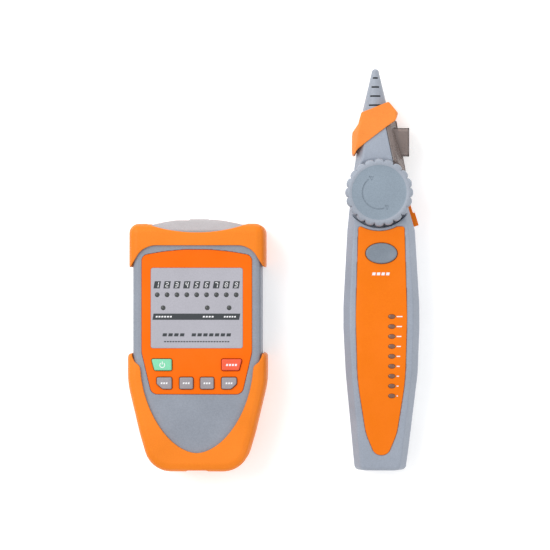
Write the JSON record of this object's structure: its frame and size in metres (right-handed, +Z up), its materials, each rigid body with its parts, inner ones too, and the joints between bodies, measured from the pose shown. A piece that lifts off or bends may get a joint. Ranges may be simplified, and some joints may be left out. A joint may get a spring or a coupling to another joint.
{
  "type": "cable tone and probe kit",
  "caption": "Cable-tracing kit: a sender with bumper boots, keys and network ports, and a pen probe with a sensing tip, scan key and sensitivity knob.",
  "frame": {"origin": "middle of the kit's footprint, on the surface that both units lie on", "axes": "+Z up out of both faces, +Y along both units towards the ports and the probe's tip, +X from the sender to the probe"},
  "size_m": [0.1548, 0.2146, 0.0355],
  "materials": {
    "boot_rubber": "soft matt orange",
    "shell_grey": "fine matt grey moulding",
    "faceplate_orange": "satin orange",
    "display_grey": "satin grey label",
    "lamp_dark": "dark clear lamp lens",
    "lamp_brown": "brown lamp window",
    "key_green": "matt green key",
    "key_red": "matt red key",
    "key_grey": "matt grey key",
    "knob_grey": "fine matt grey",
    "scan_key_grey": "matt grey key",
    "smoked": "smoked clear plastic",
    "black_plastic": "black moulding",
    "battery_case": "dark painted can",
    "board_green": "green solder mask",
    "contact_metal": "gold-plated contact",
    "screw_steel": "plated steel",
    "ferrite_antenna": "dark ferrite rod",
    "speaker_black": "black speaker"
  },
  "bodies": {
    "sender": {"sender_rear_shell": "shell_grey", "sender_front_shell": "shell_grey", "sender_top_boot": "boot_rubber", "sender_bottom_boot": "boot_rubber", "sender_faceplate": "faceplate_orange", "sender_display_panel": "display_grey", "sender_wiremap_leds": "lamp_dark", "sender_status_leds": "lamp_dark", "sender_key_switches": "black_plastic", "sender_circuit_board": "board_green", "sender_chips": "black_plastic", "sender_port_panel": "shell_grey", "sender_rj45_jack": "black_plastic", "sender_rj45_contacts": "contact_metal", "sender_rj11_jack": "black_plastic", "sender_rj11_contacts": "contact_metal", "sender_battery": "battery_case", "sender_battery_snap": "black_plastic", "sender_screws": "screw_steel"},
    "probe": {"probe_rear_shell": "shell_grey", "probe_front_shell": "shell_grey", "probe_faceplate": "faceplate_orange", "probe_scan_switch": "black_plastic", "probe_signal_leds": "lamp_brown", "probe_circuit_board": "board_green", "probe_chips": "black_plastic", "probe_potentiometer": "screw_steel", "probe_tip": "knob_grey", "probe_antenna": "ferrite_antenna", "probe_nose_collar": "boot_rubber", "probe_side_window": "smoked", "probe_rj45_jack": "smoked", "probe_rj45_contacts": "contact_metal", "probe_side_switch": "black_plastic", "probe_battery": "battery_case", "probe_battery_snap": "black_plastic", "probe_speaker": "speaker_black", "probe_screws": "screw_steel"},
    "power_key": {"sender_power_key": "key_green"},
    "mode_key": {"sender_mode_key": "key_red"},
    "key_1": {"sender_key_1": "key_grey"},
    "key_2": {"sender_key_2": "key_grey"},
    "key_3": {"sender_key_3": "key_grey"},
    "key_4": {"sender_key_4": "key_grey"},
    "sender_door": {"sender_battery_door": "shell_grey"},
    "scan_key": {"probe_scan_key": "scan_key_grey"},
    "knob": {"probe_sensitivity_knob": "knob_grey", "probe_knob_shaft": "screw_steel"},
    "side_button": {"probe_side_button": "faceplate_orange"},
    "probe_door": {"probe_battery_door": "shell_grey"}
  },
  "joints": [
    {"name": "probe_lift", "type": "slide", "parent": "sender", "child": "probe", "axis": [0, 0, 1], "range_m": [0, 0.12]},
    {"name": "power_key_press", "type": "slide", "parent": "sender", "child": "power_key", "axis": [0, 0, -1], "range_m": [0, 0.0008], "stiffness_N_per_m": 800, "springref_m": -0.0006},
    {"name": "mode_key_press", "type": "slide", "parent": "sender", "child": "mode_key", "axis": [0, 0, -1], "range_m": [0, 0.0008], "stiffness_N_per_m": 800, "springref_m": -0.0006},
    {"name": "key_1_press", "type": "slide", "parent": "sender", "child": "key_1", "axis": [0, 0, -1], "range_m": [0, 0.0008], "stiffness_N_per_m": 800, "springref_m": -0.0006},
    {"name": "key_2_press", "type": "slide", "parent": "sender", "child": "key_2", "axis": [0, 0, -1], "range_m": [0, 0.0008], "stiffness_N_per_m": 800, "springref_m": -0.0006},
    {"name": "key_3_press", "type": "slide", "parent": "sender", "child": "key_3", "axis": [0, 0, -1], "range_m": [0, 0.0008], "stiffness_N_per_m": 800, "springref_m": -0.0006},
    {"name": "key_4_press", "type": "slide", "parent": "sender", "child": "key_4", "axis": [0, 0, -1], "range_m": [0, 0.0008], "stiffness_N_per_m": 800, "springref_m": -0.0006},
    {"name": "sender_door_hinge", "type": "hinge", "parent": "sender", "child": "sender_door", "pos_m": [-0.0406, -0.0793, 0.0022], "axis": [-1, 0, 0], "range_deg": [0, 75]},
    {"name": "scan_key_press", "type": "slide", "parent": "probe", "child": "scan_key", "axis": [0, 0, -1], "range_m": [0, 0.0008], "stiffness_N_per_m": 800, "springref_m": -0.0006},
    {"name": "knob_turn", "type": "hinge", "parent": "probe", "child": "knob", "pos_m": [0.056, 0.0406, 0.03], "axis": [0, 0, 1], "range_deg": [-140, 140]},
    {"name": "side_button_press", "type": "slide", "parent": "probe", "child": "side_button", "axis": [-0.9563, -0.2924, 0], "range_m": [0, 0.001], "stiffness_N_per_m": 800, "springref_m": -0.0006},
    {"name": "probe_door_hinge", "type": "hinge", "parent": "probe", "child": "probe_door", "pos_m": [0.0572, -0.0873, 0.001], "axis": [-1, 0, 0], "range_deg": [0, 75]}
  ]
}
